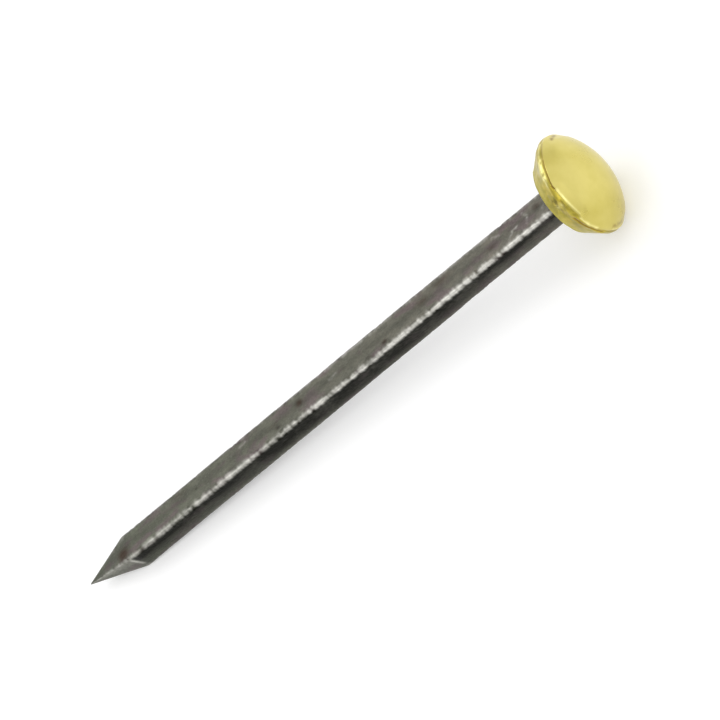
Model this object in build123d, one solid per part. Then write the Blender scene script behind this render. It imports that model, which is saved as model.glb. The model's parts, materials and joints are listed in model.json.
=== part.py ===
from build123d import *
import math
import os

# Brass-headed picture pin: a square steel wire nail with a folded sheet-brass cap on its head.
# Each piece is first made along its own axis, with the tip of the nail at the origin and the head
# towards +X. Then the whole pin is laid down as it comes to rest: on the rim of the cap and on the
# edge where its lowest flat meets the point. All sizes are in millimetres and angles in degrees.

# Whole pin
overall_length = 30.0
wire_side = 1.30
wire_corner_radius = 0.21

# Cut point: four flat faces, sharpened a little off the middle of the wire
point_length = 2.80
tip_side = 0.04
tip_offset_y = 0.08
tip_offset_z = 0.07

# Cap, outside: a shallow crown with a rounded shoulder above its widest circle, a cone and a flat hem
# below it
head_diameter = 4.88
crown_height = 1.24
shoulder_radius = 0.55
rim_radius = 0.44
cone_angle = 38.8
skirt_depth = 1.01
hem_radius = 0.10

# Cap, inside: drawn and folded sheet, closed on the square wire
sheet_thickness = 0.24
hem_clearance = 0.02

# Flats that the closing jaws press into the cone
jaw_count = 12
jaw_depth = 0.025

widest_x = overall_length - crown_height


def along_wire(x):
    """Plane across the wire at distance x from the tip, with its own X along +Y and its Y along +Z."""
    return Plane(origin=(x, 0, 0), x_dir=(0, 1, 0), z_dir=(1, 0, 0))


def wire_section(x, clearance=0.0):
    """The wire's square outline with rounded corners, or the same outline a clearance larger."""
    side = wire_side + 2 * clearance
    return along_wire(x) * RectangleRounded(side, side, wire_corner_radius + clearance)


def wire_length(start, end, clearance=0.0):
    """A straight stretch of the wire from one distance along it to another."""
    return extrude(wire_section(start, clearance), amount=end - start)


def sharp_point():
    """The four flat faces of the point, before the wire's rounded corners are taken into account."""
    tip = along_wire(0) * Pos(tip_offset_y, tip_offset_z) * Rectangle(tip_side, tip_side)
    base = along_wire(point_length) * Rectangle(wire_side, wire_side)
    return loft([tip, base], ruled=True)


def crown_arcs(inset):
    """Shallow round of the crown and the tighter round of its shoulder, which meet without a kink."""
    shoulder_y = head_diameter / 2 - shoulder_radius
    rise = crown_height - shoulder_radius
    crown_radius = (shoulder_y ** 2 + rise ** 2) / (2 * rise) + shoulder_radius
    crown_x = overall_length - crown_radius
    meeting_angle = math.degrees(math.atan2(shoulder_y, widest_x - crown_x))
    crown_side = CenterArc((crown_x, 0), crown_radius - inset, 0, meeting_angle)
    shoulder_side = CenterArc(
        (widest_x, shoulder_y), shoulder_radius - inset, meeting_angle, 90 - meeting_angle)
    return crown_side, shoulder_side


def head_form(inset=0.0):
    """Turned form of the cap's outside, or of its inside when it is inset by the sheet's thickness."""
    angle = math.radians(cone_angle)
    crown_side, shoulder_side = crown_arcs(inset)
    rim_side = CenterArc((widest_x, head_diameter / 2 - rim_radius), rim_radius - inset, 90, cone_angle)
    cone_top = rim_side @ 1
    hem_x = widest_x - skirt_depth + inset
    corner_radius = cone_top.Y - (cone_top.X - hem_x) * math.tan(angle)
    cone_side = Line(cone_top, (hem_x, corner_radius))
    hem_side = Line((hem_x, corner_radius), (hem_x, 0))
    axis_side = Line(hem_side @ 1, crown_side @ 0)
    outline = make_face([crown_side, shoulder_side, rim_side, cone_side, hem_side, axis_side])
    if hem_radius > inset:
        corner = outline.vertices().sort_by_distance((hem_x, corner_radius))[0]
        outline = fillet(corner, hem_radius - inset)
    return revolve(outline, Axis.X)


def jaw_envelope():
    """Many-sided taper that runs just under the cone, so that each of its sides leaves a shallow flat."""
    slope = math.tan(math.radians(cone_angle))
    start = widest_x - skirt_depth - sheet_thickness
    end = widest_x + crown_height
    cone_start = head_diameter / 2 - rim_radius + rim_radius / math.cos(math.radians(cone_angle))
    small = cone_start - jaw_depth - (widest_x - start) * slope
    large = cone_start - jaw_depth + (end - widest_x) * slope
    sections = []
    for x, apothem in ((start, small), (end, large)):
        sections.append(along_wire(x) * RegularPolygon(apothem, jaw_count, major_radius=False))
    return loft(sections, ruled=True)


def steel_pin():
    """Nail in one piece: four-sided point, square wire and an upset head that fills the cap."""
    head = head_form(inset=sheet_thickness)
    point = wire_length(0, point_length) & sharp_point()
    wire = wire_length(point_length, widest_x)
    return point + wire + head


def brass_cap():
    """Sheet cap in one piece: crown, rolled rim, cone with jaw flats, and a hem with a square hole."""
    outside = head_form() & jaw_envelope()
    inside = head_form(inset=sheet_thickness)
    wire_hole = wire_length(point_length, widest_x, hem_clearance)
    return outside - inside - wire_hole


def rest_tilt():
    """Slope of the lying pin: the line from the point's lower edge that touches the rim from below."""
    run = widest_x - point_length
    drop = head_diameter / 2 - rim_radius - wire_side / 2
    return math.degrees(math.atan2(drop, run) + math.asin(rim_radius / math.hypot(run, drop)))


def lay_down(pieces):
    """Turn the pin to its slope, stand it on the ground and centre it over the origin."""
    turned = [Rot(0, -rest_tilt(), 0) * piece for piece in pieces]
    box = Compound(turned).bounding_box()
    place = Pos(-box.center().X, -box.center().Y, -box.min.Z)
    return [place * piece for piece in turned]


os.makedirs("parts", exist_ok=True)
pin, cap = lay_down([steel_pin(), brass_cap()])
export_step(pin, "parts/steel_pin.step")
export_step(cap, "parts/brass_cap.step")
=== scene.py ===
import json
import math

import bpy
import numpy as np
from mathutils import Matrix, Vector, noise


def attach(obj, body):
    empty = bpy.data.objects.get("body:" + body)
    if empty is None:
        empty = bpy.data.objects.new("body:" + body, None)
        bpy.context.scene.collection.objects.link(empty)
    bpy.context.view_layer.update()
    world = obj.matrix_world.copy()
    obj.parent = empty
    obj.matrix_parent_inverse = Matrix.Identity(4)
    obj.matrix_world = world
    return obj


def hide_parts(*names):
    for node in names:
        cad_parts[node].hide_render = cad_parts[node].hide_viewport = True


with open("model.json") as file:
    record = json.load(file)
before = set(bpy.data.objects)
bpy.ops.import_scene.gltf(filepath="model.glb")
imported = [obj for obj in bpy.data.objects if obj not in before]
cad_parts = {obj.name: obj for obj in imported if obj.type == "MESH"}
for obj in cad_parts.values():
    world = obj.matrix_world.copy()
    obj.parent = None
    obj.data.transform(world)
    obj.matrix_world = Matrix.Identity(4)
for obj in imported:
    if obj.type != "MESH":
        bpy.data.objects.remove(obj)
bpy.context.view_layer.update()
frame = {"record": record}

# Brass-headed picture pin, lying on a pale floor. Lengths below are in millimetres along the pin's own
# axes: x from the tip to the crown, y to the side, z up from the flat that it lies on. Angles round the
# pin are in degrees from +y over +z, so the edge next to the camera is at 135.
MM = 0.001

# The pin's own sizes, the same driving dimensions as the solids have
OVERALL_LENGTH = 30.0
WIRE_SIDE = 1.30
WIRE_CORNER = 0.21
POINT_LENGTH = 2.80
TIP_SIDE = 0.04
TIP_OFFSET = np.array([0.08, 0.07])
HEAD_RADIUS = 2.44
CROWN_HEIGHT = 1.24
SHOULDER_RADIUS = 0.55
RIM_RADIUS = 0.44
CONE_ANGLE = math.radians(38.8)
SKIRT_DEPTH = 1.01
HEM_RADIUS = 0.10
SHEET = 0.24
HEM_CLEARANCE = 0.02
JAW_COUNT = 12
JAW_DEPTH = 0.025

WIDEST_X = OVERALL_LENGTH - CROWN_HEIGHT
HEM_X = WIDEST_X - SKIRT_DEPTH

# How softly the point's edges and the jaw flats run out
POINT_SOFTNESS = 0.009
JAW_SOFTNESS = 0.014

# How fine the meshes are
POINT_STEP = 0.03
WIRE_STEP = 0.045
PIN_ROUND_STEPS = 120
CAP_ROUND_STEPS = 288
PROFILE_STEP = 0.035
HIDDEN_STEP = 0.12
SKIN_HALVINGS = 26

# How near the axis the turned profiles end: the cap's, and that of the nail's head inside it
HEM_END = 1.0
NAIL_HEAD_END = 0.95

rng = np.random.default_rng(7)


def pin_axes():
    """The pin's own axes and origin in the row frame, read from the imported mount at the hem."""
    mount = next(m for m in frame["record"]["mounts"] if m["name"] == "hook_seat")
    along = -Vector(mount["axis"]).normalized()
    side = Vector((0, 1, 0))
    up = along.cross(side)
    matrix = Matrix((along, side, up)).transposed().to_4x4()
    matrix.translation = Vector(mount["pos_m"]) - along * HEM_X * MM
    return matrix


PIN = pin_axes()


# Helpers for meshes and for uneven surfaces

def make_mesh(name, points, faces, attributes):
    """A mesh object from points in the pin's own axes, with smooth faces and named point attributes."""
    mesh = bpy.data.meshes.new(name)
    rows = np.c_[points * MM, np.ones(len(points))] @ np.array(PIN).T
    mesh.from_pydata(rows[:, :3].tolist(), [], faces)
    for key, values in attributes.items():
        layer = mesh.attributes.new(key, "FLOAT", "POINT")
        layer.data.foreach_set("value", np.asarray(values, np.float32))
    mesh.polygons.foreach_set("use_smooth", np.ones(len(mesh.polygons), bool))
    mesh.update()
    piece = bpy.data.objects.new(name, mesh)
    bpy.context.scene.collection.objects.link(piece)
    return piece


def ring_faces(rings, steps):
    """Faces of a closed skin: one pole, rings of points from one end to the other, and another pole."""
    first, last = 0, 1 + rings * steps
    faces = []
    for j in range(steps):
        k = (j + 1) % steps
        faces.append((first, 1 + k, 1 + j))
    for i in range(rings - 1):
        low, high = 1 + i * steps, 1 + (i + 1) * steps
        for j in range(steps):
            k = (j + 1) % steps
            faces.append((low + j, low + k, high + k, high + j))
    low = 1 + (rings - 1) * steps
    for j in range(steps):
        k = (j + 1) % steps
        faces.append((low + j, low + k, last))
    return faces


def turned_ring(x, radius, angle):
    """One ring of points at x, with a radius at each angle."""
    return np.c_[np.full(len(angle), x), radius * np.cos(angle), radius * np.sin(angle)]


def smooth_step(low, high, value):
    """Rises from 0 at low to 1 at high, level at both ends."""
    t = np.clip((value - low) / (high - low), 0, 1)
    return t * t * (3 - 2 * t)


def bump(value, centre, width):
    """A rounded hump of height 1 about a centre."""
    return np.exp(-((value - centre) / width) ** 2)


def turn_between(angle, centre):
    """Signed difference of two angles in degrees, between -180 and 180."""
    return (angle - centre + 180) % 360 - 180


def noise_3d(points, scale, seed):
    """Smooth noise between about -1 and 1 at points in space, with one scale or one for each axis."""
    shift = np.array([seed * 5.1, seed * 3.7, seed * 9.2])
    rows = (points.reshape(-1, 3) / np.asarray(scale) + shift).tolist()
    return np.array([noise.noise(row) for row in rows]).reshape(points.shape[:-1])


def near_line(points, start, end, width):
    """Closeness, from 0 to 1, of points to a straight stretch between two places."""
    start, end = np.asarray(start, float), np.asarray(end, float)
    span = end - start
    share = np.clip(((points - start) @ span) / max(span @ span, 1e-9), 0, 1)
    away = np.linalg.norm(points - start - share[..., None] * span, axis=-1)
    return np.exp(-(away / width) ** 2)


# The nail

CORNERS = (45, 135, 225, 315)

# Marks on the top flat and along the edge next to the camera: x, y, length, width, depth, stain
TOP_MARKS = (
    (12.85, 0.05, 0.17, 0.15, 0.022, 1.0),
    (11.46, -0.25, 0.14, 0.07, 0.030, 0.3),
    (11.30, -0.05, 0.30, 0.10, 0.010, 0.2),
    (13.05, 0.49, 0.32, 0.035, 0.022, 0.4),
    (12.22, -0.50, 0.09, 0.08, 0.035, 0.0),
    (17.72, -0.34, 0.15, 0.09, 0.030, 0.9),
    (16.70, -0.45, 0.16, 0.08, 0.022, 0.2),
    (8.60, -0.38, 0.22, 0.12, 0.024, 0.1),
    (7.20, -0.52, 0.12, 0.10, 0.032, 0.0),
    (5.90, 0.30, 0.40, 0.16, 0.008, 0.2),
    (21.30, 0.25, 0.50, 0.14, 0.008, 0.5),
    (20.10, 0.05, 0.35, 0.18, 0.008, 0.5),
    (24.10, -0.10, 0.26, 0.10, 0.012, 0.4),
    (26.80, 0.10, 0.22, 0.14, 0.012, 0.6),
)

# Brown stain at the end of the point's top facet: x, y, length, width and strength
POINT_STAIN = (2.24, -0.17, 0.33, 0.24, 1.3)

# Polished scuffs on the top flat, as short strokes of one width: start and end in x and y
SCUFF_WIDTH = 0.065
SCUFFS = (
    ((25.05, -0.36), (25.30, -0.14)), ((25.30, -0.14), (25.62, -0.08)),
    ((26.05, 0.30), (26.22, 0.02)), ((26.22, 0.02), (26.12, -0.26)),
    ((25.52, -0.13), (25.58, -0.12)), ((27.05, -0.16), (27.11, -0.14)),
    ((24.30, 0.28), (24.62, 0.16)), ((27.22, 0.22), (27.34, 0.30)),
    ((9.40, 0.20), (9.75, 0.28)), ((14.60, -0.05), (15.00, 0.02)),
)

# Small pits strewn over the whole nail: how many, and how many degrees a millimetre across it takes up
PIT_COUNT = 90
WIRE_DEGREES_PER_MM = 62

# Scallops knocked into the edges: where they begin, the least and the mean further step from one to the
# next, and the most that they cut in
DENT_START = 0.3
DENT_STEP = 0.09
DENT_SPREAD = 0.20
DENT_LIMIT = 0.045

# How deep the wire's slow waves, its fine waves and its grain press in
SLOW_DEPTH = 0.008
FINE_DEPTH = 0.0035
GRAIN_DEPTH = 0.0012

# The wire is a little thinner towards the head and just behind the point
HEAD_THINNING = 0.020
POINT_THINNING = 0.012

# How far round, in degrees, each edge's painted highlight, the painted shade band beyond it and the darker
# middle of the flat lie from the corner, along the pin
MARK_SHIFT_X = (2.3, 5.5, 7.8, 10.1, 12.3, 14.6, 16.9, 19.2, 26.0)
MARK_SHIFT = (0.5, -0.5, 0.0, 0.5, 0.5, 3.0, 5.0, 2.5, 1.5)

# How bright each edge is painted, as a painted highlight on the edge next to the camera and as wear on the
# others: the corner's angle and its share
EDGE_WEAR_AND_HIGHLIGHT = ((45, 0.42), (135, 1.0), (225, 0.55), (315, 0.55))

# Painted shade: a dark band painted on the flat beyond each edge, darkest on the flat below the edge next to
# the camera. Its strength at degrees beyond an edge, its share from the top flat on round the wire, and how
# far it reaches from the edge, along the pin
SHADE_BEYOND = (0, 4, 10, 36, 48, 58, 70, 82)
SHADE_STRENGTH = (0, 0.35, 1, 0.98, 0.95, 0.85, 0.6, 0)
SHADE_SHARES = (0.10, 1.0, 0.75, 0.8)
SHADE_X = (2.8, 6, 9, 11, 19, 22, 25)
SHADE_REACH = (0.43, 0.50, 0.62, 0.95, 0.90, 0.60, 0.32)

# The ground look of the point ends on a slant next to the camera: how far short of the point's length
GROUND_END_ANGLES = (115, 135, 225, 235)
GROUND_END_SHORT = (0, 0.26, 0, 0)

# How bright the point's facets are painted, at angles round the pin: a ground finish, with painted light
# strongest on the facets next to the camera
FACET_GRIND_AND_LIGHT_ANGLES = (45, 128, 140, 165, 190, 215, 300, 360)
FACET_GRIND_AND_LIGHT = (0, 0.1, 1, 0.75, 0.4, 0.3, 0.4, 0.1)


def wire_skin(x, angle):
    """Points of the point and the wire, with the point's edges and its base a little rounded."""
    grid_x, grid_angle = np.meshgrid(x, angle, indexing="ij")
    share = grid_x / POINT_LENGTH
    plane = TIP_OFFSET[:, None, None] * (1 - share)
    half = (TIP_SIDE + (WIRE_SIDE - TIP_SIDE) * share) / 2
    middle = TIP_OFFSET[:, None, None] * np.clip(1 - share, 0, 1)
    inner = WIRE_SIDE / 2 - WIRE_CORNER
    low, high = np.zeros_like(grid_x), np.full_like(grid_x, WIRE_SIDE)
    for _ in range(SKIN_HALVINGS):
        radius = (low + high) / 2
        y = middle[0] + radius * np.cos(grid_angle)
        z = middle[1] + radius * np.sin(grid_angle)
        qy, qz = np.abs(y) - inner, np.abs(z) - inner
        outer = np.hypot(np.maximum(qy, 0), np.maximum(qz, 0))
        wire = outer + np.minimum(np.maximum(qy, qz), 0) - WIRE_CORNER
        terms = np.stack([wire, np.abs(y - plane[0]) - half, np.abs(z - plane[1]) - half])
        top = terms.max(axis=0)
        blend = top + POINT_SOFTNESS * np.log(np.exp((terms - top) / POINT_SOFTNESS).sum(axis=0))
        low = np.where(blend < 0, radius, low)
        high = np.where(blend < 0, high, radius)
    y = middle[0] + low * np.cos(grid_angle)
    z = middle[1] + low * np.sin(grid_angle)
    return np.stack([grid_x, y, z], axis=-1), middle


def wire_textures(skin):
    """Uneven textures of the wire, from slow waves to fine grain, and the flakes that break up the light
    painted on its edges.
    """
    return {
        "slow": noise_3d(skin, (2.2, 0.9, 0.9), 1),
        "fine": noise_3d(skin, (0.55, 0.30, 0.30), 2),
        "grain": noise_3d(skin, (0.16, 0.10, 0.10), 3),
        "flake": noise_3d(skin, (0.30, 1.6, 1.6), 5) + 0.8 * noise_3d(skin, (0.13, 0.9, 0.9), 7),
    }


def corner_dents(x, degrees):
    """How deep the small scallops are that were knocked into the four long edges."""
    depth = np.zeros((len(x), len(degrees)))
    for corner in CORNERS:
        place = DENT_START
        while place < HEM_X:
            place += DENT_STEP + rng.exponential(DENT_SPREAD)
            size = rng.uniform(0.045, 0.13)
            deep = rng.uniform(0.004, 0.020) * (1.9 if rng.random() < 0.12 else 1.0)
            side = turn_between(degrees, corner + rng.normal(0, 4.5))
            lean = rng.normal(0, 0.012)
            width = rng.uniform(4.5, 9.0)
            rows = np.abs(x - place) < 4 * size
            along = x[rows][:, None] - place - lean * side[None, :]
            depth[rows] += deep * np.exp(-(along / size) ** 2 - (side[None, :] / width) ** 2)
    return np.minimum(depth, DENT_LIMIT)


def on_top_flat(skin):
    """Where the skin belongs to the top flat and its edges."""
    return skin[..., 2] > WIRE_SIDE / 2 - WIRE_CORNER


def pin_marks(skin, degrees):
    """Marks on the top flat and pits all over: how deep each place is, how pitted and how brown."""
    grid_x = skin[..., 0]
    depth, pit, stain = np.zeros_like(grid_x), np.zeros_like(grid_x), np.zeros_like(grid_x)
    for mark_x, mark_y, length, width, deep, brown in TOP_MARKS:
        close = np.exp(-((grid_x - mark_x) / length) ** 2 - ((skin[..., 1] - mark_y) / width) ** 2)
        close *= on_top_flat(skin)
        depth += deep * close
        pit += close * min(deep / 0.03, 1)
        stain += close * brown
    for _ in range(PIT_COUNT):
        pit_x, pit_angle = rng.uniform(1.5, HEM_X), rng.uniform(0, 360)
        size = rng.uniform(0.03, 0.09)
        length = size * rng.uniform(1, 2.2)
        deep = rng.uniform(0.004, 0.016)
        away = turn_between(degrees, pit_angle)[None, :] / WIRE_DEGREES_PER_MM
        close = np.exp(-((grid_x - pit_x) / length) ** 2 - (away / size) ** 2)
        depth += deep * close
        pit += close * deep / 0.02
    return depth, pit, stain


def worn_skin(skin, middle, textures, knocked):
    """The skin pressed in towards its middle line by its uneven surface and by all that knocked it."""
    grid_x = skin[..., 0]
    depth = SLOW_DEPTH * (0.5 + textures["slow"]) + FINE_DEPTH * (1 + textures["fine"])
    depth += GRAIN_DEPTH * (1 + textures["grain"]) + knocked
    depth += HEAD_THINNING * smooth_step(19, 27, grid_x)
    depth += POINT_THINNING * (1 - smooth_step(4, 10, grid_x)) * smooth_step(2.6, 4.5, grid_x)
    depth *= smooth_step(0.2, 1.6, grid_x) * (0.35 + 0.65 * smooth_step(2.2, 3.4, grid_x))
    inward = skin.copy()
    inward[..., 0] = 0
    inward[..., 1:] -= np.moveaxis(middle, 0, -1)
    reach = np.linalg.norm(inward[..., 1:], axis=-1, keepdims=True)
    return skin - inward / np.maximum(reach, 1e-6) * np.maximum(depth, 0)[..., None]


def edge_wear_and_highlight(skin, degrees, mark_shift, textures):
    """How brightly the four long edges are painted: a painted highlight on the edge next to the camera and
    wear on the others, less towards the point and on it.
    """
    grid_x = skin[..., 0]
    fine, flake, grain = textures["fine"], textures["flake"], textures["grain"]
    width = 6.8 + 2.6 * flake
    edge = sum(share * np.exp(-np.abs(turn_between(degrees, corner + mark_shift) / width) ** 2.2)
               for corner, share in EDGE_WEAR_AND_HIGHLIGHT)
    wear_and_highlight = edge * np.clip(0.80 + 0.40 * fine + 0.50 * flake + 0.45 * grain, 0.1, 1.15)
    wear_and_highlight *= 0.60 + 0.40 * smooth_step(5, 18, grid_x)
    return wear_and_highlight * (1 - 0.35 * (1 - smooth_step(POINT_LENGTH - 0.6, POINT_LENGTH - 0.2, grid_x)))


def facet_end_highlight(grid_x, degrees, ground_end, textures):
    """A painted highlight along the end of the ground facet next to the camera."""
    rim = bump(grid_x, ground_end - 0.17, 0.08)
    rim *= smooth_step(138, 150, degrees) * (1 - smooth_step(196, 214, degrees))
    return rim * np.clip(0.8 + 0.7 * textures["fine"] + 0.6 * textures["grain"], 0.1, 1.2)


def ground_and_lit_facets(grid_x, degrees, ground_end, textures):
    """How bright the point's facets are painted: a ground finish, with painted light strongest next to the
    camera.
    """
    facet = 1 - smooth_step(ground_end - 0.25, ground_end + 0.02, grid_x)
    facet *= np.interp(degrees, FACET_GRIND_AND_LIGHT_ANGLES, FACET_GRIND_AND_LIGHT) * (1 - 0.5 * smooth_step(1.7, 2.5, grid_x))
    return facet * np.clip(1 + 0.5 * textures["fine"] + 0.5 * textures["grain"], 0, 1.3)


def painted_shade_band(skin, degrees, mark_shift, ground_end, textures):
    """How strongly the painted shade band lies on the flat beyond each edge."""
    grid_x = skin[..., 0]
    beyond = (degrees - 45 - mark_shift) % 90
    side = ((degrees - 45 - mark_shift) % 360 // 90).astype(int)
    band = np.interp(beyond, SHADE_BEYOND, SHADE_STRENGTH) * np.array(SHADE_SHARES)[side]
    reach = np.interp(grid_x, SHADE_X, SHADE_REACH)
    band *= 1 - (1 - reach) * smooth_step(22, 52, beyond)
    uneven = 1.0 + 0.35 * noise_3d(skin, (1.4, 0.5, 0.5), 6) + 0.15 * textures["fine"]
    uneven += 0.22 * textures["grain"]
    return band * np.clip(uneven, 0, 1.1) * smooth_step(ground_end - 0.12, ground_end + 0.02, grid_x)


def make_pin():
    """The nail: point, square wire and the head that is hidden in the cap, as one closed skin."""
    point_end = POINT_LENGTH + 0.3
    x = np.r_[np.arange(0, point_end, POINT_STEP), np.arange(point_end, HEM_X + SHEET, WIRE_STEP)]
    angle = np.linspace(0, 2 * math.pi, PIN_ROUND_STEPS, endpoint=False)
    degrees = np.degrees(angle)
    plain, middle = wire_skin(x, angle)
    grid_x = plain[..., 0]
    textures = wire_textures(plain)
    dents = corner_dents(x, degrees)
    marks, pit, stain = pin_marks(plain, degrees)
    skin = worn_skin(plain, middle, textures, dents + marks)

    mark_shift = np.interp(x, MARK_SHIFT_X, MARK_SHIFT)[:, None]
    ground_end = POINT_LENGTH - np.interp(degrees, GROUND_END_ANGLES, GROUND_END_SHORT)
    scuff = sum(near_line(plain[..., :2], start, end, SCUFF_WIDTH) for start, end in SCUFFS)
    scuff = scuff * on_top_flat(plain) * np.clip(0.10 + 0.14 * textures["grain"], 0, 1)
    # Painted highlight on the edges and along the end of the ground facet, less in the dents, with real
    # scuffs added
    wear_and_highlight = edge_wear_and_highlight(plain, degrees, mark_shift, textures)
    wear_and_highlight += 0.45 * facet_end_highlight(grid_x, degrees, ground_end, textures) - dents / 0.09 + scuff
    facet = ground_and_lit_facets(grid_x, degrees, ground_end, textures)
    flat_middle = bump((degrees - 45 - mark_shift) % 90, 45, 17)
    stain_x, stain_y, length, width, strength = POINT_STAIN
    close = strength * bump(grid_x, stain_x, length) * bump(skin[..., 1], stain_y, width)
    stain += close * (skin[..., 2] > 0.2)

    head = head_profile(SHEET, NAIL_HEAD_END, HIDDEN_STEP)[::-1]
    head_rings = [turned_ring(head_x, radius, angle) for head_x, radius in head[:-1]]
    points = np.vstack([[[0, *TIP_OFFSET]], skin.reshape(-1, 3), *head_rings, [[head[-1, 0], 0, 0]]])
    hidden = len(points) - 1 - grid_x.size

    def spread(values):
        return np.r_[values.flat[0], values.reshape(-1), np.zeros(hidden)]

    attributes = {
        # Painted highlight on the edge next to the camera and the end of its ground facet, wear and scuffs
        # elsewhere
        "wear_and_highlight": spread(np.clip(wear_and_highlight, 0, 1)),
        "pit": spread(np.clip(pit, 0, 1)),
        "stain": spread(np.clip(stain, 0, 1)),
        # Ground finish of the point's facets, with painted light on those next to the camera
        "facet": spread(np.clip(facet, 0, 1)),
        "middle": spread(flat_middle * (1 - facet)),
        # The scale attribute is painted shade: the dark band on the flats beyond the edges
        "scale": spread(np.clip(painted_shade_band(skin, degrees, mark_shift, ground_end, textures), 0, 1)),
        "along": spread(grid_x / OVERALL_LENGTH),
    }
    piece = make_mesh("pin", points, ring_faces(len(x) + len(head) - 1, PIN_ROUND_STEPS), attributes)
    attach(piece, "root")
    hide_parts("steel_pin")
    return piece


# The cap

# Creases where the sheet is folded at the rim: x and angle of each end, width and depth
CREASES = (
    (28.93, 56, 28.91, 81, 0.035, 0.018),
    (28.91, 81, 28.85, 97, 0.034, 0.030),
    (28.85, 97, 28.76, 113, 0.034, 0.038),
    (28.75, 111, 28.79, 115, 0.038, 0.055),
    (28.70, 128, 28.68, 138, 0.030, 0.018),
    (28.52, 152, 28.57, 165, 0.085, 0.046),
    (28.57, 165, 28.65, 174, 0.060, 0.046),
    (28.65, 174, 28.72, 188, 0.050, 0.032),
)
CREASE_DEPTH = 0.030

# Dimples in the folded belly: x, angle, length along the pin, width round it and depth
DIMPLES = (
    (28.55, 133, 0.085, 0.15, 0.050),
    (28.20, 140, 0.14, 0.20, 0.030),
    (28.12, 118, 0.12, 0.24, 0.028),
    (28.27, 127, 0.09, 0.12, 0.024),
    (28.42, 112, 0.16, 0.30, 0.022),
    (28.36, 150, 0.20, 0.26, 0.026),
    (28.62, 98, 0.10, 0.34, 0.018),
    (28.30, 88, 0.12, 0.22, 0.022),
    (28.45, 176, 0.12, 0.30, 0.024),
    (28.40, 30, 0.14, 0.26, 0.024),
    (28.35, 205, 0.14, 0.26, 0.026),
    (28.48, 238, 0.12, 0.30, 0.022),
    (28.38, 276, 0.16, 0.24, 0.026),
    (28.46, 318, 0.12, 0.30, 0.024),
    (28.40, 350, 0.14, 0.24, 0.024),
)

# Shallow waves that run down the folded belly: how many, and about which angle they are calmer
WAVE_COUNT = 26
CALM_ANGLE = 132
CALM_SPREAD = 12

# The middle of the part of the rim that the photo shows, which has no made-up creases
SHOWN_ANGLE = 122

# How deep the cap's uneven surface presses in: its swell all over, the band at the rim, the groove along
# the fold, and the belly's fine skin and its lumps
SWELL_DEPTH = 0.006
BAND_DEPTH = 0.005
GROOVE_DEPTH = 0.014
SKIN_DEPTH = 0.0035
LUMP_DEPTH = 0.0120

# How far the crown's top is set in, so that its pole stays inside the solids' box
CROWN_SETTING = 0.003

# The fold that ends the crown wanders a little: x at angles round it
FOLD_ANGLES = (0, 20, 40, 62, 81, 97, 113, 118, 150, 155, 170, 185, 210, 240, 262, 290, 312, 338)
FOLD_X = (28.86, 28.90, 28.90, 28.90, 28.89, 28.84, 28.75, 28.80, 28.85, 28.75, 28.76, 28.84, 28.90, 28.84,
          28.88, 28.82, 28.88, 28.84)

# The strip beyond the fold is flattened: how far over the fold it starts, half the turn it spans, and
# the angle about which it is flattened less
FOLD_LIFT = 0.08
FOLD_HALF_TURN = math.radians(21.0)
FOLD_EASED_ANGLE = 192

# Painted highlights along the fold, the rim and the belly next to the camera, and bright lines of wear round
# the far side: x and angle of each end, strength, width
HIGHLIGHT_AND_RUB_LINES = (
    (28.895, 117, 28.920, 128, 0.9, 0.046),
    (28.920, 128, 28.925, 137, 0.9, 0.044),
    (28.925, 137, 28.930, 145, 0.8, 0.044),
    (28.930, 145, 28.920, 150, 0.6, 0.044),
    (28.785, 155, 28.770, 162, 0.8, 0.055),
    (28.770, 162, 28.790, 169, 1.0, 0.070),
    (28.790, 169, 28.830, 177, 0.9, 0.060),
    (28.270, 131, 28.360, 132, 0.40, 0.130),
    (28.360, 132, 28.520, 133, 0.55, 0.130),
    (28.570, 108, 28.605, 100, 0.8, 0.090),
    (28.605, 100, 28.665, 89, 1.1, 0.135),
    (28.665, 89, 28.730, 80, 1.1, 0.125),
    (28.730, 80, 28.840, 56, 0.7, 0.080),
    (28.930, 14, 28.910, 40, 0.7, 0.050),
    (28.960, 200, 28.920, 232, 0.8, 0.045),
    (28.930, 252, 28.900, 280, 0.7, 0.060),
    (28.920, 306, 28.900, 336, 0.8, 0.050),
)

# Small flats that the folding tool pressed at the rim: x, angle and depth, and how wide they may be
PRESSED = (
    (28.80, 162, 0.012),
    (28.70, 215, 0.016),
    (28.80, 262, 0.015),
    (28.66, 300, 0.016),
    (28.82, 350, 0.015),
    (28.70, 38, 0.016),
)
PRESSED_REACH = 0.6

# Slightly darker places: x, angle, radius and strength. The one on the belly at 161 degrees is painted shade
DARK_PATCHES_AND_SHADE = (
    (29.10, 170, 0.75, 0.55),
    (29.00, 78, 0.70, 0.50),
    (29.57, 196, 0.80, 0.25),
    (29.30, 230, 0.60, 0.30),
    (29.70, 20, 0.50, 0.20),
    (29.35, 300, 0.55, 0.28),
    # Painted shade on the lower belly
    (28.45, 161, 0.46, 1.00),
    (28.40, 215, 0.40, 0.60),
)

# Tarnished marks at the far side of the crown: x and angle of each end, strength and width
TARNISH = (
    (29.20, 46, 29.12, 27, 1.0, 0.085),
    (29.08, 199, 29.14, 221, 0.7, 0.085),
)

# Rings round the hem's hole, from the flat hem to the inside: distance from the hem, and how much wider
HOLE_RINGS = ((0, 0.05), (0, 0.012), (0.003, 0.003), (0.015, 0), (SHEET - 0.015, 0), (SHEET, 0.01))

# Lowest place of the cap's rim, which touches the floor, and how far round it the wear is held back
FLOOR_ANGLE = 270
FLOOR_SPREAD = 12


def profile_arc(centre, radius, start, stop, step):
    """Points of an arc of the profile, as (x, r)."""
    t = np.linspace(start, stop, max(4, int(abs(stop - start) * radius / step)))
    return np.c_[centre[0] + radius * np.cos(t), centre[1] + radius * np.sin(t)]


def profile_line(start, stop, step):
    """Points of a straight stretch of the profile, as (x, r)."""
    return np.linspace(start, stop, max(3, int(math.dist(start, stop) / step)))


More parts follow.
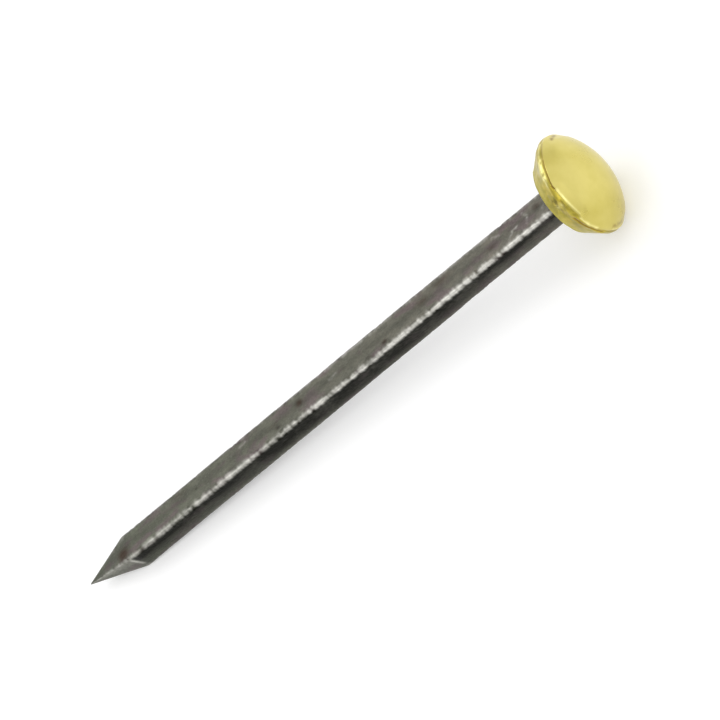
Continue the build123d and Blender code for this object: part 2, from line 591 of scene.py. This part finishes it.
def head_profile(inset, hem_end, step=PROFILE_STEP):
    """Outline of the head from its crown to the hem, as (x, r), inset for the inside of the sheet."""
    shoulder_y = HEAD_RADIUS - SHOULDER_RADIUS
    rise = CROWN_HEIGHT - SHOULDER_RADIUS
    crown_radius = (shoulder_y ** 2 + rise ** 2) / (2 * rise) + SHOULDER_RADIUS
    crown_x = OVERALL_LENGTH - crown_radius
    meeting = math.atan2(shoulder_y, WIDEST_X - crown_x)
    crown = profile_arc((crown_x, 0), crown_radius - inset, 0, meeting, step * 1.3)
    shoulder = profile_arc((WIDEST_X, shoulder_y), SHOULDER_RADIUS - inset, meeting, math.pi / 2, step / 2)
    rim_y = HEAD_RADIUS - RIM_RADIUS
    side = profile_arc((WIDEST_X, rim_y), RIM_RADIUS - inset, math.pi / 2, math.pi / 2 + CONE_ANGLE, step / 2)
    hem_x = HEM_X + inset
    corner = side[-1, 1] - (side[-1, 0] - hem_x) * math.tan(CONE_ANGLE)
    hem = max(HEM_RADIUS - inset, 0.01)
    reach = hem * math.tan((math.pi / 2 - CONE_ANGLE) / 2)
    cone_end = (hem_x + reach * math.cos(CONE_ANGLE), corner + reach * math.sin(CONE_ANGLE))
    cone = profile_line(side[-1], cone_end, step)
    edge = profile_arc((hem_x + hem, corner - reach), hem, math.pi / 2 + CONE_ANGLE, math.pi, step)
    flat = profile_line(edge[-1], (hem_x, hem_end), step)
    return np.vstack([crown, shoulder[1:], side[1:], cone[1:], edge[1:], flat[1:]])


def on_head(x, degrees):
    """The place on the cap's outside at a distance along the pin and an angle round it."""
    profile = head_profile(0, HEM_END)
    shell = profile[: np.argmin(profile[:, 0]) + 1]
    radius = np.interp(x, shell[::-1, 0], shell[::-1, 1])
    turn = math.radians(degrees)
    return np.array([x, radius * math.cos(turn), radius * math.sin(turn)])


def near_head_line(points, ends, width, parts):
    """Closeness of points to a line that bends round the head, from one x and angle to another."""
    x0, a0, x1, a1 = ends
    stops = [on_head(x0 + (x1 - x0) * k / parts, a0 + (a1 - a0) * k / parts) for k in range(parts + 1)]
    return np.maximum.reduce([near_line(points, start, end, width) for start, end in zip(stops, stops[1:])])


def fold_place(degrees):
    """Where the fold runs: its x at angles round the pin."""
    wander = noise_3d(np.stack([degrees / 9, degrees * 0, degrees * 0], -1), 1, 14)
    return np.interp(degrees, FOLD_ANGLES, FOLD_X, period=360) + 0.022 * wander


def fold_depth(points, degrees, fold_x):
    """How far the shoulder is flattened, which leaves a crisp fold beside the widest circle."""
    radius = np.hypot(points[..., 1], points[..., 2])
    turn = np.arcsin((fold_x + FOLD_LIFT - WIDEST_X) / SHOULDER_RADIUS)
    start_x = WIDEST_X + SHOULDER_RADIUS * np.sin(turn)
    start_r = HEAD_RADIUS - SHOULDER_RADIUS + SHOULDER_RADIUS * np.cos(turn)
    slope = turn + FOLD_HALF_TURN
    over = (points[..., 0] - start_x) * np.sin(slope) + (radius - start_r) * np.cos(slope)
    along = (points[..., 0] - start_x) * np.cos(slope) - (radius - start_r) * np.sin(slope)
    share = 1 - 0.75 * np.exp(-(turn_between(degrees, FOLD_EASED_ANGLE) / 22) ** 4)
    return np.where((along > -0.05) & (along < 0.9), np.maximum(over, 0), 0) * share


def belly_waves(x, degrees):
    """Depth of the shallow waves that run down the belly."""
    depth = np.zeros_like(x)
    for _ in range(WAVE_COUNT):
        centre = rng.uniform(0, 360)
        width = rng.uniform(1.6, 4.0)
        lean = rng.normal(0, 6)
        calm = 0.2 if abs(turn_between(centre, CALM_ANGLE)) < CALM_SPREAD else 1
        deep = rng.uniform(0.003, 0.009) * calm
        side = turn_between(degrees, centre)[None, :] + lean * (x - WIDEST_X)
        depth += deep * np.exp(-(side / width) ** 2)
    return depth * smooth_step(HEM_X + 0.1, HEM_X + 0.5, x)


def dimple_depth(x, degrees):
    """Depth of the dimples in the belly."""
    depth = np.zeros_like(x)
    for dimple_x, dimple_angle, length, width, deep in DIMPLES:
        side = np.radians(turn_between(degrees, dimple_angle))[None, :] * HEAD_RADIUS
        depth += deep * np.exp(-((x - dimple_x) / length) ** 2 - (side / width) ** 2)
    return depth


def crease_lines(points, degrees, fold_x):
    """How creased each place is: the creases that the photo shows, and ragged ones on the other side."""
    crease = np.zeros(points.shape[:-1])
    for *ends, width, deep in CREASES:
        crease = np.maximum(crease, near_head_line(points, ends, width, 4) * deep / CREASE_DEPTH)
    other_side = smooth_step(55, 80, np.abs(turn_between(degrees, SHOWN_ANGLE)))
    ragged = np.clip(0.2 + 1.2 * noise_3d(points, 0.7, 17), 0, 0.7) * other_side
    return np.maximum(crease, ragged * bump(points[..., 0], fold_x - 0.04, 0.035))


def pressed_flats(points, normals, depth):
    """The depth, taken further where the folding tool pressed a small flat."""
    for flat_x, flat_angle, deep in PRESSED:
        centre = on_head(flat_x, flat_angle)
        away = np.linalg.norm(points - centre, axis=-1)
        facing = normals[np.unravel_index(away.argmin(), away.shape)]
        over = ((points - centre) @ facing + deep) / np.maximum(normals @ facing, 0.3)
        depth = np.maximum(depth, np.where(away < PRESSED_REACH, over, 0))
    return depth


def highlight_and_rub_lines(points):
    """How bright the painted highlights and the lines of wear are."""
    highlight_and_rub = np.zeros(points.shape[:-1])
    for *ends, strength, width in HIGHLIGHT_AND_RUB_LINES:
        highlight_and_rub = np.maximum(highlight_and_rub, strength * near_head_line(points, ends, width, 3))
    return highlight_and_rub * np.clip(0.80 + 0.9 * noise_3d(points, 0.19, 15), 0.1, 1)


def darkened_places(points):
    """How much darker the listed places are; the one on the belly is painted shade."""
    dark_patches_and_shade = np.zeros(points.shape[:-1])
    for place_x, place_angle, radius, strength in DARK_PATCHES_AND_SHADE:
        away = np.linalg.norm(points - on_head(place_x, place_angle), axis=-1)
        dark_patches_and_shade = np.maximum(dark_patches_and_shade, strength * bump(away, 0, radius))
    return dark_patches_and_shade * (1 + 0.35 * noise_3d(points, 0.6, 18))


def tarnish_flecks(points):
    """How dark the tarnished marks are."""
    flecks = np.clip(0.8 + 1.1 * noise_3d(points, 0.13, 19), 0, 1)
    return flecks * np.maximum.reduce([strength * near_head_line(points, ends, width, 1)
                                       for *ends, strength, width in TARNISH])


def cap_relief(points, normals, degrees):
    """How deep each place of the cap's outside is pressed in, and its marks for the material."""
    x = points[..., 0]
    fold_x = fold_place(degrees)
    belly = 1 - smooth_step(WIDEST_X - 0.05, WIDEST_X + 0.10, x)
    depth = SWELL_DEPTH * (0.8 + noise_3d(points, 0.9, 11)) * (0.4 + belly)
    band = BAND_DEPTH * bump(x, WIDEST_X + 0.02, 0.22)
    depth += band * (0.7 + noise_3d(points, (0.5, 0.42, 0.42), 12))
    depth += GROOVE_DEPTH * bump(x, fold_x - 0.01, 0.035)
    depth += SKIN_DEPTH * belly * (1 + noise_3d(points, 0.16, 13))
    depth += LUMP_DEPTH * belly * (1 + noise_3d(points, (0.34, 0.26, 0.26), 16))
    depth += belly * belly_waves(x, degrees) + dimple_depth(x, degrees)
    crease = crease_lines(points, degrees, fold_x)
    depth = pressed_flats(points, normals, depth + CREASE_DEPTH * crease)
    highlight_and_rub = highlight_and_rub_lines(points)
    to_crown = np.maximum(normals[..., 0], 0)
    depth = np.maximum(depth, 0) * (1 - smooth_step(0.3, 0.6, to_crown) * 0.6) * (1 - 0.7 * highlight_and_rub)
    depth += fold_depth(points, degrees, fold_x) + CROWN_SETTING * to_crown
    marks = {
        # The crease mark is painted shade in the creases, joined with tarnish flecks
        "crease": np.clip(np.maximum(crease, tarnish_flecks(points)), 0, 1),
        # Painted highlights along the fold and rim, and lines of wear
        "highlight_and_rub": highlight_and_rub,
        # The belly mark carries painted shade in the material, as well as its rougher finish
        "belly": 1 - smooth_step(fold_x - 0.03, fold_x + 0.03, x),
        # Darker places, one of them painted shade on the belly
        "dark_patches_and_shade": np.clip(darkened_places(points), 0, 1),
    }
    return depth, marks


def jaw_flats(outside, angle):
    """Distance from the axis to the jaws' flats, or far away where the profile has no cone."""
    cone_start = HEAD_RADIUS - RIM_RADIUS + RIM_RADIUS / math.cos(CONE_ANGLE)
    apothem = cone_start - JAW_DEPTH - (WIDEST_X - outside[:, :1]) * math.tan(CONE_ANGLE)
    sector = 2 * math.pi / JAW_COUNT
    flat = apothem / np.cos((angle[None, :] % sector) - sector / 2)
    return np.where(outside[:, 1:] > 1.5, flat, 9)


def cap_outside(outside, angle):
    """Points of the cap's outside before any wear, and its outward directions."""
    flat = jaw_flats(outside, angle)
    radius = -JAW_SOFTNESS * np.logaddexp(-outside[:, 1:] / JAW_SOFTNESS, -flat / JAW_SOFTNESS)
    radius = np.minimum(radius, np.maximum(outside[:, 1:], 0))
    x = np.repeat(outside[:, :1], len(angle), 1)
    slope = np.gradient(outside, axis=0)
    slope /= np.linalg.norm(slope, axis=1, keepdims=True)
    points = np.stack([x, radius * np.cos(angle), radius * np.sin(angle)], -1)
    normals = np.stack([np.repeat(slope[:, 1:], len(angle), 1), -slope[:, :1] * np.cos(angle),
                        -slope[:, :1] * np.sin(angle)], -1)
    return points, normals


def square_reach(angle, side, corner):
    """Distance from the middle to the outline of a rounded square, in a direction."""
    c, s = abs(math.cos(angle)), abs(math.sin(angle))
    inner = side / 2 - corner
    flat = side / 2 / max(c, s)
    if min(c, s) * flat <= inner:
        return flat
    b = inner * (c + s)
    return b + math.sqrt(max(b * b - 2 * inner * inner + corner * corner, 0))


def make_cap():
    """The folded cap as one closed skin: outside from the crown to the hem, then the inside back up."""
    angle = np.linspace(0, 2 * math.pi, CAP_ROUND_STEPS, endpoint=False)
    degrees = np.degrees(angle)
    outside = head_profile(0, HEM_END)[1:]
    inside = head_profile(SHEET, HEM_END)[::-1]
    points, normals = cap_outside(outside, angle)
    depth, marks = cap_relief(points, normals, degrees)
    depth[outside[:, 0] < HEM_X + 0.02] *= 0.3
    lying = bump(turn_between(degrees, FLOOR_ANGLE), 0, FLOOR_SPREAD)
    lying = lying * bump(outside[:, :1], WIDEST_X - 0.1, 0.3)
    depth *= 1 - 0.75 * lying
    points = points - normals * depth[..., None]
    # The neck mark carries a painted reflection in the material, as well as a rougher finish
    marks["neck"] = 1 - smooth_step(HEM_X + 0.05, HEM_X + 0.55, points[..., 0])

    hole_side, hole_corner = WIRE_SIDE + 2 * HEM_CLEARANCE, WIRE_CORNER + HEM_CLEARANCE
    hole = np.array([square_reach(a, hole_side, hole_corner) for a in angle])
    rings = [points.reshape(-1, 3)]
    rings += [turned_ring(HEM_X + beyond, hole + wider, angle) for beyond, wider in HOLE_RINGS]
    rings += [turned_ring(ring_x, radius, angle) for ring_x, radius in inside[:-1]]
    vertices = np.vstack([[[points[0, :, 0].mean(), 0, 0]], *rings, [[inside[-1, 0], 0, 0]]])
    count = len(outside) + len(HOLE_RINGS) + len(inside) - 1
    faces = [tuple(reversed(face)) for face in ring_faces(count, len(angle))]
    hidden = len(vertices) - 1 - depth.size
    attributes = {key: np.r_[0, mark.reshape(-1), np.zeros(hidden)] for key, mark in marks.items()}
    piece = make_mesh("cap", vertices, faces, attributes)
    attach(piece, "root")
    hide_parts("brass_cap")
    return piece


# Materials

# Colours of the steel: its own at the tip and at the head, patches on it, and what the marks bring
STEEL_TIP = (0.112, 0.121, 0.091)
STEEL_HEAD = (0.160, 0.144, 0.121)
STEEL_MOTTLE = (0.070, 0.071, 0.059)
STEEL_SPECK = (0.175, 0.174, 0.146)
STEEL_STREAK = (0.125, 0.127, 0.108)
STEEL_TINT = (0.122, 0.088, 0.098)
STEEL_FLAT_MIDDLE = (0.045, 0.047, 0.036)
# Painted shade: the colour of the dark band beyond the edges
STEEL_PAINTED_SHADE = (0.0065, 0.0064, 0.0036)
STEEL_STAIN = (0.042, 0.023, 0.015)
STEEL_PIT = (0.035, 0.033, 0.028)
# Ground finish of the point, also carrying the painted light on the facets next to the camera
STEEL_GROUND_AND_LIT = (0.27, 0.268, 0.235)
# Painted highlight on the edge next to the camera, also used for the wear on the other edges and the scuffs
STEEL_WEAR_AND_HIGHLIGHT = (0.72, 0.71, 0.655)
FLECK_DARK = (0.3, 0.3, 0.3)
FLECK_LIGHT = (1.7, 1.7, 1.7)

# Colours of the brass: the crown's two tones, the belly's two tones, and what the marks bring
BRASS_CROWN = ((0.625, 0.538, 0.148), (0.695, 0.603, 0.192))
# Painted shade: the belly's darker, more golden tones
BRASS_SHADED_BELLY = ((0.395, 0.340, 0.058), (0.545, 0.435, 0.062))
# Painted reflection: the paler tone at the neck
BRASS_NECK_REFLECTION = (0.55, 0.485, 0.108)
# Colour of the darker places, one of which is painted shade
BRASS_DARK_PATCH_AND_SHADE = (0.72, 0.70, 0.46)
BRASS_GRIT = (0.33, 0.27, 0.045)
# Painted highlight colour, also used for the lines of wear
BRASS_HIGHLIGHT_AND_RUB = (0.94, 0.86, 0.355)
# Painted shade in the creases, also the colour of the tarnish flecks
BRASS_CREASE_SHADE_AND_TARNISH = (0.24, 0.145, 0.025)


class Nodes:
    """Short calls for building one material's node tree."""

    def __init__(self, name):
        self.material = bpy.data.materials.new(name)
        self.material.use_nodes = True
        self.tree = self.material.node_tree
        self.shader = self.tree.nodes["Principled BSDF"]

    def add(self, kind, inputs=None, **settings):
        node = self.tree.nodes.new(kind)
        for key, value in settings.items():
            setattr(node, key, value)
        for key, value in (inputs or {}).items():
            self.put(node.inputs[key], value)
        return node

    def put(self, socket, value):
        if isinstance(value, bpy.types.NodeSocket):
            self.tree.links.new(value, socket)
        else:
            socket.default_value = value

    def attribute(self, name, share=None):
        """A named point attribute, or a share of it."""
        value = self.add("ShaderNodeAttribute", attribute_name=name).outputs["Fac"]
        return value if share is None else self.math("MULTIPLY", value, share)

    def place(self, scale):
        """Object coordinates in millimetres along the pin's own axes, scaled for each axis."""
        coordinates = self.add("ShaderNodeTexCoord").outputs["Object"]
        mapping = self.add("ShaderNodeMapping", {"Vector": coordinates})
        mapping.inputs["Scale"].default_value = [value / MM for value in scale]
        return mapping.outputs["Vector"]

    def noise(self, scale, detail=3.0, roughness=0.55):
        inputs = {"Vector": self.place(scale), "Scale": 1.0, "Detail": detail, "Roughness": roughness}
        return self.add("ShaderNodeTexNoise", inputs).outputs["Fac"]

    def math(self, kind, first, second):
        node = self.add("ShaderNodeMath", operation=kind)
        self.put(node.inputs[0], first)
        self.put(node.inputs[1], second)
        return node.outputs[0]

    def range(self, value, low, high, to_low, to_high):
        inputs = {"Value": value, "From Min": low, "From Max": high, "To Min": to_low, "To Max": to_high}
        return self.add("ShaderNodeMapRange", inputs).outputs["Result"]

    def mix(self, factor, first, second, kind="MIX"):
        node = self.add("ShaderNodeMix", data_type="RGBA", blend_type=kind)
        self.put(node.inputs[0], factor)
        self.put(node.inputs[6], first if isinstance(first, bpy.types.NodeSocket) else (*first, 1))
        self.put(node.inputs[7], second if isinstance(second, bpy.types.NodeSocket) else (*second, 1))
        return node.outputs[2]

    def bump(self, height, distance, strength, normal=None):
        inputs = {"Height": height, "Distance": distance * MM, "Strength": strength}
        if normal is not None:
            inputs["Normal"] = normal
        return self.add("ShaderNodeBump", inputs).outputs["Normal"]


def steel_material():
    """Dull drawn steel with painted shade beyond its edges and painted highlights on them, greenish at the
    tip and warmer at the head.
    """
    n = Nodes("steel")
    mottle = n.noise((1.6, 3.5, 3.5), 4)
    speck = n.noise((7, 13, 13), 3)
    streak = n.noise((0.5, 26, 26), 2)
    tint = n.noise((0.9, 2.0, 2.0), 2)
    tone = n.mix(n.attribute("along"), STEEL_TIP, STEEL_HEAD)
    tone = n.mix(n.range(mottle, 0.35, 0.65, 0, 0.65), tone, STEEL_MOTTLE)
    tone = n.mix(n.range(speck, 0.54, 0.70, 0, 0.6), tone, STEEL_SPECK)
    tone = n.mix(n.range(streak, 0.4, 0.7, 0, 0.3), tone, STEEL_STREAK)
    tone = n.mix(n.range(tint, 0.5, 0.64, 0, 0.55), tone, STEEL_TINT)
    tone = n.mix(n.attribute("middle", 0.35), tone, STEEL_FLAT_MIDDLE)
    # Painted shade: the dark band beyond the edges, darkest on the flat below the edge next to the camera
    tone = n.mix(n.attribute("scale"), tone, STEEL_PAINTED_SHADE)
    tone = n.mix(n.attribute("stain", 0.85), tone, STEEL_STAIN)
    tone = n.mix(n.attribute("pit", 0.5), tone, STEEL_PIT)
    # Ground finish of the facets, with painted light on those next to the camera
    tone = n.mix(n.attribute("facet", 0.75), tone, STEEL_GROUND_AND_LIT)
    # Painted highlight on the edges and at the end of the ground facet, with wear and scuffs
    tone = n.mix(n.attribute("wear_and_highlight"), tone, STEEL_WEAR_AND_HIGHLIGHT)
    flecks = n.mix(n.range(n.noise((10, 14, 14), 2), 0.3, 0.7, 0, 1), FLECK_DARK, FLECK_LIGHT)
    # The flecks show more within the painted shade band
    share = n.range(n.attribute("scale"), 0, 1, 0.13, 0.42)
    tone = n.mix(share, tone, n.mix(1.0, tone, flecks, "MULTIPLY"))
    n.put(n.shader.inputs["Base Color"], tone)
    n.shader.inputs["Metallic"].default_value = 1.0
    rough = n.math("SUBTRACT", n.range(speck, 0.3, 0.7, 0.36, 0.50), n.attribute("wear_and_highlight", 0.10))
    n.put(n.shader.inputs["Roughness"], rough)
    n.put(n.shader.inputs["Normal"], n.bump(speck, 0.012, 0.6, n.bump(streak, 0.010, 0.5)))
    return n.material


def brass_material():
    """Pale satin brass, smooth on the crown and rougher where the sheet is folded, with painted shade on the
    belly and in the creases, a painted reflection at the neck and painted highlights along the fold.
    """
    n = Nodes("brass")
    cloud = n.noise((0.8, 0.8, 0.8), 3)
    speck = n.noise((9, 9, 9), 3)
    lumps = n.noise((2.6, 2.6, 2.6), 3)
    belly = n.attribute("belly")
    tone = n.mix(n.range(cloud, 0.35, 0.65, 0, 1), *BRASS_CROWN)
    # Painted shade on the belly, which turns away from the light
    tone = n.mix(belly, tone, n.mix(n.range(lumps, 0.38, 0.62, 0, 1), *BRASS_SHADED_BELLY))
    # Painted reflection at the neck
    tone = n.mix(n.attribute("neck", 0.75), tone, BRASS_NECK_REFLECTION)
    # Darker places, one of them painted shade on the belly
    tone = n.mix(n.attribute("dark_patches_and_shade", 0.9), tone, BRASS_DARK_PATCH_AND_SHADE, "MULTIPLY")
    tone = n.mix(n.math("MULTIPLY", n.range(speck, 0.52, 0.72, 0, 0.45), belly), tone, BRASS_GRIT)
    # Painted highlights along the fold and rim, and lines of wear
    tone = n.mix(n.attribute("highlight_and_rub"), tone, BRASS_HIGHLIGHT_AND_RUB)
    # Painted shade in the creases, and tarnish flecks
    tone = n.mix(n.attribute("crease", 0.85), tone, BRASS_CREASE_SHADE_AND_TARNISH)
    n.put(n.shader.inputs["Base Color"], tone)
    n.shader.inputs["Metallic"].default_value = 1.0
    rough = n.math("ADD", n.range(cloud, 0.3, 0.7, 0.26, 0.34), n.attribute("belly", 0.02))
    n.put(n.shader.inputs["Roughness"], n.math("ADD", rough, n.attribute("neck", 0.14)))
    grit = n.math("MULTIPLY", speck, belly)
    n.put(n.shader.inputs["Normal"], n.bump(grit, 0.0012, 0.4, n.bump(cloud, 0.02, 0.3)))
    return n.material


# Camera, floor and light

# The camera: how far the pin's axis is tipped out of the picture, how far the view is turned round the
# axis from the side towards the top, how steeply the axis climbs in the picture, and the picture's
# scale, with the pixel at which the middle of the axis is seen
AXIS_TILT = math.radians(24.54)
VIEW_ROUND = math.radians(52.0)
AXIS_CLIMB = math.radians(39.51)
PICTURE_PIXELS = 720
PIXELS_PER_MM = 24.15
MIDDLE_PIXEL = np.array([345.67, 377.69])
LENS = 1500.0
SENSOR = 36.0

# Round lamps that face the pin from one distance: direction, size in metres, and brightness, which is
# that of a white card in the lamp's place, where 1 is white. The front lamp stands at the camera's side.
LAMP_DISTANCE = 1.7
LAMPS = {
    "window_lamp": ((-0.46, 0.48, 0.75), 1.22, 1.20),
    "edge_lamp": ((-0.45, -0.45, 0.77), 1.10, 0.9),
}
FRONT_LAMP = (0.42, 4.0)

# The floor: half its side in metres, its colour, and how much lighter it is to the camera and in metal
FLOOR_REACH = 3
FLOOR_COLOUR = (0.80, 0.80, 0.80, 1)
FLOOR_LIFT = 0.25

# The surroundings are brightest on one side: its direction, and two cosines of the angle from it with
# the strength at each of them
WORLD_BRIGHT_SIDE = (0.88, 0.15, 0.45)
WORLD_RANGE = (-0.6, 0.9, 0.74, 1.08)


def make_camera():
    """A long lens whose place follows from the pin's axes and the pixel of a place on its axis."""
    turn = PIN.to_3x3()
    outward = turn @ Vector((0, -math.cos(VIEW_ROUND), math.sin(VIEW_ROUND)))
    downward = turn @ Vector((0, -math.sin(VIEW_ROUND), -math.cos(VIEW_ROUND)))
    axis = turn @ Vector((1, 0, 0))
    towards = math.sin(AXIS_TILT) * axis + math.cos(AXIS_TILT) * outward
    forwards = math.cos(AXIS_TILT) * axis - math.sin(AXIS_TILT) * outward
    right = math.cos(AXIS_CLIMB) * forwards + math.sin(AXIS_CLIMB) * downward
    up = math.sin(AXIS_CLIMB) * forwards - math.cos(AXIS_CLIMB) * downward
    offset = (PICTURE_PIXELS / 2 - MIDDLE_PIXEL) / PIXELS_PER_MM * MM
    middle = PIN @ Vector((OVERALL_LENGTH / 2 * MM, 0, 0))
    target = middle + right * offset[0] - up * offset[1]
    distance = PICTURE_PIXELS / PIXELS_PER_MM * MM * LENS / SENSOR
    data = bpy.data.cameras.new("camera")
    data.lens = LENS
    data.sensor_width = SENSOR
    data.clip_start = distance / 10
    data.clip_end = distance * 10
    camera = bpy.data.objects.new("camera", data)
    matrix = Matrix((right, up, towards)).transposed().to_4x4()
    matrix.translation = target + towards * distance
    camera.matrix_world = matrix
    bpy.context.scene.collection.objects.link(camera)
    bpy.context.scene.camera = camera
    return towards


def make_lamp(name, direction, size, brightness):
    """A round soft lamp that faces the pin."""
    data = bpy.data.lights.new(name, "AREA")
    data.shape = "DISK"
    data.size = size
    data.energy = brightness * math.pi * math.pi * size * size / 4
    lamp = bpy.data.objects.new(name, data)
    direction = Vector(direction).normalized()
    lamp.location = direction * LAMP_DISTANCE
    lamp.rotation_mode = "QUATERNION"
    lamp.rotation_quaternion = direction.to_track_quat("Z", "Y")
    bpy.context.scene.collection.objects.link(lamp)


def make_floor():
    """A wide pale floor that stays white to the camera and in the metal, and keeps the pin's shadow."""
    mesh = bpy.data.meshes.new("floor")
    corners = [(x * FLOOR_REACH, y * FLOOR_REACH, 0) for x, y in ((-1, -1), (1, -1), (1, 1), (-1, 1))]
    mesh.from_pydata(corners, [], [(0, 1, 2, 3)])
    floor = bpy.data.objects.new("floor", mesh)
    bpy.context.scene.collection.objects.link(floor)
    n = Nodes("floor")
    n.shader.inputs["Base Color"].default_value = FLOOR_COLOUR
    n.shader.inputs["Roughness"].default_value = 0.9
    n.shader.inputs["Specular IOR Level"].default_value = 0.0
    path = n.add("ShaderNodeLightPath")
    seen = n.math("MAXIMUM", path.outputs["Is Camera Ray"], path.outputs["Is Glossy Ray"])
    seen = n.math("MAXIMUM", seen, path.outputs["Is Transmission Ray"])
    n.shader.inputs["Emission Color"].default_value = (1, 1, 1, 1)
    n.put(n.shader.inputs["Emission Strength"], n.math("MULTIPLY", seen, FLOOR_LIFT))
    mesh.materials.append(n.material)


def make_world():
    """Plain studio surroundings, brightest behind and above the pin and dimmer behind the camera."""
    world = bpy.data.worlds.new("world")
    world.use_nodes = True
    tree = world.node_tree
    coordinates = tree.nodes.new("ShaderNodeTexCoord")
    dot = tree.nodes.new("ShaderNodeVectorMath")
    dot.operation = "DOT_PRODUCT"
    dot.inputs[1].default_value = Vector(WORLD_BRIGHT_SIDE).normalized()
    ramp = tree.nodes.new("ShaderNodeMapRange")
    for key, value in zip(("From Min", "From Max", "To Min", "To Max"), WORLD_RANGE):
        ramp.inputs[key].default_value = value
    background = tree.nodes["Background"]
    background.inputs["Color"].default_value = (1, 1, 1, 1)
    tree.links.new(coordinates.outputs["Generated"], dot.inputs[0])
    tree.links.new(dot.outputs["Value"], ramp.inputs["Value"])
    tree.links.new(ramp.outputs["Result"], background.inputs["Strength"])
    bpy.context.scene.world = world


pin = make_pin()
cap = make_cap()
pin.data.materials.append(steel_material())
cap.data.materials.append(brass_material())
view_side = make_camera()
for lamp_name, lamp_settings in LAMPS.items():
    make_lamp(lamp_name, *lamp_settings)
make_lamp("front_lamp", view_side, *FRONT_LAMP)
make_floor()
make_world()
bpy.context.scene.view_settings.view_transform = "Standard"
